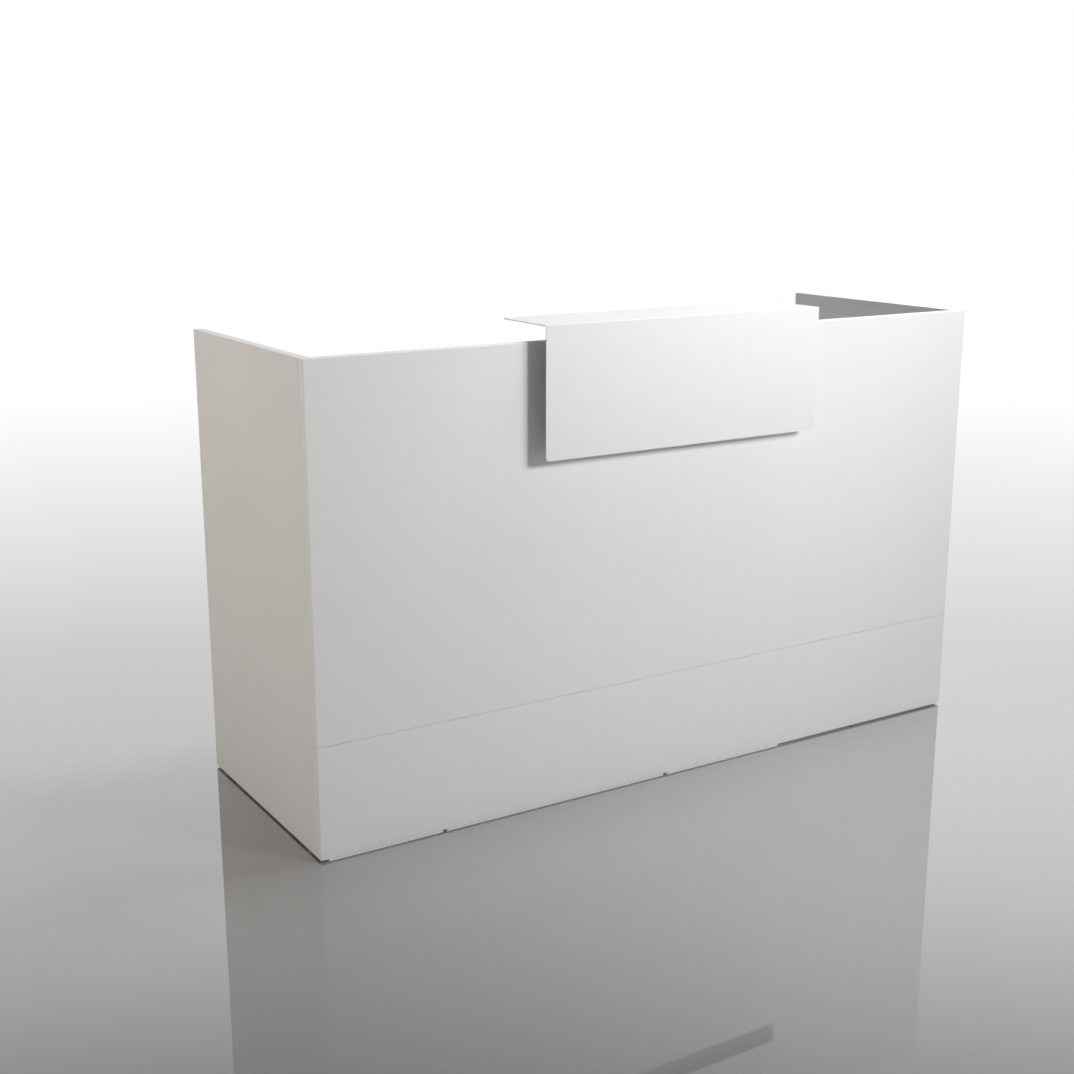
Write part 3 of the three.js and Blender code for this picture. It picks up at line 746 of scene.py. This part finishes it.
# %% Screw head
HEAD_RADIUS = 4.2 * MM
HEAD_HEIGHT = 2.4 * MM
HEAD_CROWN = 0.9 * MM
RECESS = 1.5 * MM
RECESS_HALF = 0.55 * MM
RECESS_REACH = 2.3 * MM
RECESS_TAPER = 0.7
UPWARDS = 0.3
GRID_LINES = (-HEAD_RADIUS, -RECESS_REACH, -RECESS_HALF, RECESS_HALF, RECESS_REACH, HEAD_RADIUS)
CELLS = len(GRID_LINES) - 1


def screw_head():
    bm = bmesh.new()
    half = CELLS / 2
    bmesh.ops.create_grid(bm, x_segments=CELLS, y_segments=CELLS, size=half)
    for vert in bm.verts:
        column, row = round(vert.co.x + half), round(vert.co.y + half)
        vert.co = Vector((GRID_LINES[column], GRID_LINES[row], 0))
        if column in (0, CELLS) or row in (0, CELLS):
            vert.co = Vector((column - half, row - half, 0)).normalized() * HEAD_RADIUS
        vert.co.z = HEAD_HEIGHT - HEAD_CROWN * (vert.co.xy.length / HEAD_RADIUS) ** 2
    rim_edges = [edge for edge in bm.edges if edge.is_boundary]
    rim_parts = bmesh.ops.extrude_edge_only(bm, edges=rim_edges)["geom"]
    for vert in rim_parts:
        if isinstance(vert, bmesh.types.BMVert):
            vert.co.z = 0
    cross = []
    for face in bm.faces:
        middle = face.calc_center_median()
        narrow, reach = sorted((abs(middle.x), abs(middle.y)))
        if face.normal.z > UPWARDS and narrow < RECESS_HALF and reach < RECESS_REACH:
            cross.append(face)
    pressed = bmesh.ops.extrude_face_region(bm, geom=cross)["geom"]
    bmesh.ops.delete(bm, geom=cross, context="FACES")
    for vert in pressed:
        if isinstance(vert, bmesh.types.BMVert):
            vert.co = Vector((vert.co.x * RECESS_TAPER, vert.co.y * RECESS_TAPER, vert.co.z - RECESS))
    return bm


screw_template = as_template("screw_template", screw_head())
print("screw head:", len(screw_template.polygons), "faces")

# %% [markdown]
# Every hole in the steel takes one screw. Their places follow from each plate's own box and from the edge
# distance that the holes keep, with the head lying on the free side of the steel.

# %% Screws in their holes
HOLE_EDGE = 14 * MM
BRACKET_STEEL = 4 * MM
ANGLE_STEEL = 2.5 * MM
ANGLE_LEG = 36 * MM
carcass_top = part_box("front_panel")[1].z


def spread(low, high, count):
    return [low + (high - low) * step / (count - 1) for step in range(count)]


def bracket_screws(low, high):
    for x in (low.x + HOLE_EDGE, high.x - HOLE_EDGE):
        for z in (low.z + HOLE_EDGE, carcass_top - 2 * HOLE_EDGE):
            yield facing((x, low.y + BRACKET_STEEL, z), Y)


def plate_screws(low, high):
    for x in (low.x + HOLE_EDGE, high.x - HOLE_EDGE):
        for z in (low.z + HOLE_EDGE, high.z - HOLE_EDGE):
            yield facing((x, high.y, z), Y)


def clip_screws(low, high):
    lane = ANGLE_LEG - HOLE_EDGE
    for x in (low.x + HOLE_EDGE, high.x - HOLE_EDGE):
        yield facing((x, low.y + ANGLE_STEEL, high.z - lane), Y)
        yield facing((x, low.y + lane, high.z - ANGLE_STEEL), -Z)


def rail_screws(low, high):
    lane = ANGLE_LEG - HOLE_EDGE
    inwards = X if low.x < 0 else -X
    wall = low.x if low.x < 0 else high.x
    for y in spread(low.y + HOLE_EDGE, high.y - HOLE_EDGE, 4):
        yield facing((wall + inwards.x * ANGLE_STEEL, y, high.z - lane), inwards)
        yield facing((wall + inwards.x * lane, y, high.z - ANGLE_STEEL), -Z)


screw_sets = {
    "counter_bracket": bracket_screws,
    "joint_plate": plate_screws,
    "worktop_clip": clip_screws,
    "worktop_rail": rail_screws,
}
screw_count = 0
for kind, places in screw_sets.items():
    for node in [n for n in steel_nodes if n.startswith(kind)]:
        bm = bmesh.new()
        for place in places(*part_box(node)):
            add_copy(bm, screw_template, place)
            screw_count += 1
        make_piece("screws_" + node, bm, zinc_plate)
print("screws:", screw_count)

# %% [markdown]
# ## Counter studs and nuts
# Six studs are welded under the counter and pass through its brackets. Each takes a washer and a hexagon nut
# from below. The nut is a six-sided prism whose lower rim is bevelled, and the stud shows a few turns of
# thread past it.

# %% Studs, washers and nuts
STUD_INSET = 28 * MM
STUD_RADIUS = 3 * MM
STUD_PITCH = 1 * MM
STUD_DEPTH = 0.45 * MM
STUD_STEPS = 24
STUD_POINT = 0.6 * MM
NUT_RADIUS = 5.77 * MM
NUT_HEIGHT = 5 * MM
WASHER_RADIUS = 6.2 * MM
WASHER_HEIGHT = 1.4 * MM
STUD_LENGTH = 14 * MM
WELD_GAP = 0.05 * MM
NUT_EDGE = 0.5 * MM
WASHER_EDGE = 0.3 * MM
WASHER_STEPS = 32


def stud_profile():
    section = [(0, -STUD_LENGTH), (STUD_RADIUS - STUD_POINT, -STUD_LENGTH)]
    section += thread(STUD_RADIUS, STUD_DEPTH, STUD_PITCH, -STUD_LENGTH + STUD_PITCH / 2, -STUD_PITCH)
    return section + [(STUD_RADIUS, -WELD_GAP), (0, -WELD_GAP)]


def nut_shape():
    bm = bmesh.new()
    bmesh.ops.create_cone(
        bm, cap_ends=True, segments=6, radius1=NUT_RADIUS, radius2=NUT_RADIUS, depth=NUT_HEIGHT
    )
    rims = [edge for edge in bm.edges if abs(edge.verts[0].co.z - edge.verts[1].co.z) < MM]
    bmesh.ops.bevel(
        bm, geom=rims, offset=NUT_EDGE, offset_type="OFFSET", segments=2, profile=0.5, affect="EDGES",
        material=-1,
    )
    bmesh.ops.translate(bm, vec=-Z * (WASHER_HEIGHT + NUT_HEIGHT / 2), verts=bm.verts)
    return bm


washer_section = [
    (0, -WASHER_HEIGHT),
    (WASHER_RADIUS - WASHER_EDGE, -WASHER_HEIGHT),
    (WASHER_RADIUS, WASHER_EDGE - WASHER_HEIGHT),
    (WASHER_RADIUS, 0),
    (0, 0),
]
stud_template = as_template("stud_template", spun(stud_profile(), STUD_STEPS))
nut_template = as_template("nut_template", nut_shape())
washer_template = as_template("washer_template", spun(washer_section, WASHER_STEPS))

for node in [n for n in steel_nodes if n.startswith("counter_bracket")]:
    low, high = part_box(node)
    stud_bm, nut_bm = bmesh.new(), bmesh.new()
    for y in (low.y + STUD_INSET, high.y - STUD_INSET):
        middle_x = (low.x + high.x) / 2
        add_copy(stud_bm, stud_template, Matrix.Translation((middle_x, y, counter_high.z - GAUGE)))
        under = Matrix.Translation((middle_x, y, high.z - BRACKET_STEEL))
        add_copy(nut_bm, washer_template, under)
        add_copy(nut_bm, nut_template, under)
    make_piece("studs_" + node, stud_bm, zinc_plate)
    make_piece("nuts_" + node, nut_bm, zinc_plate)
print("studs and nuts made")
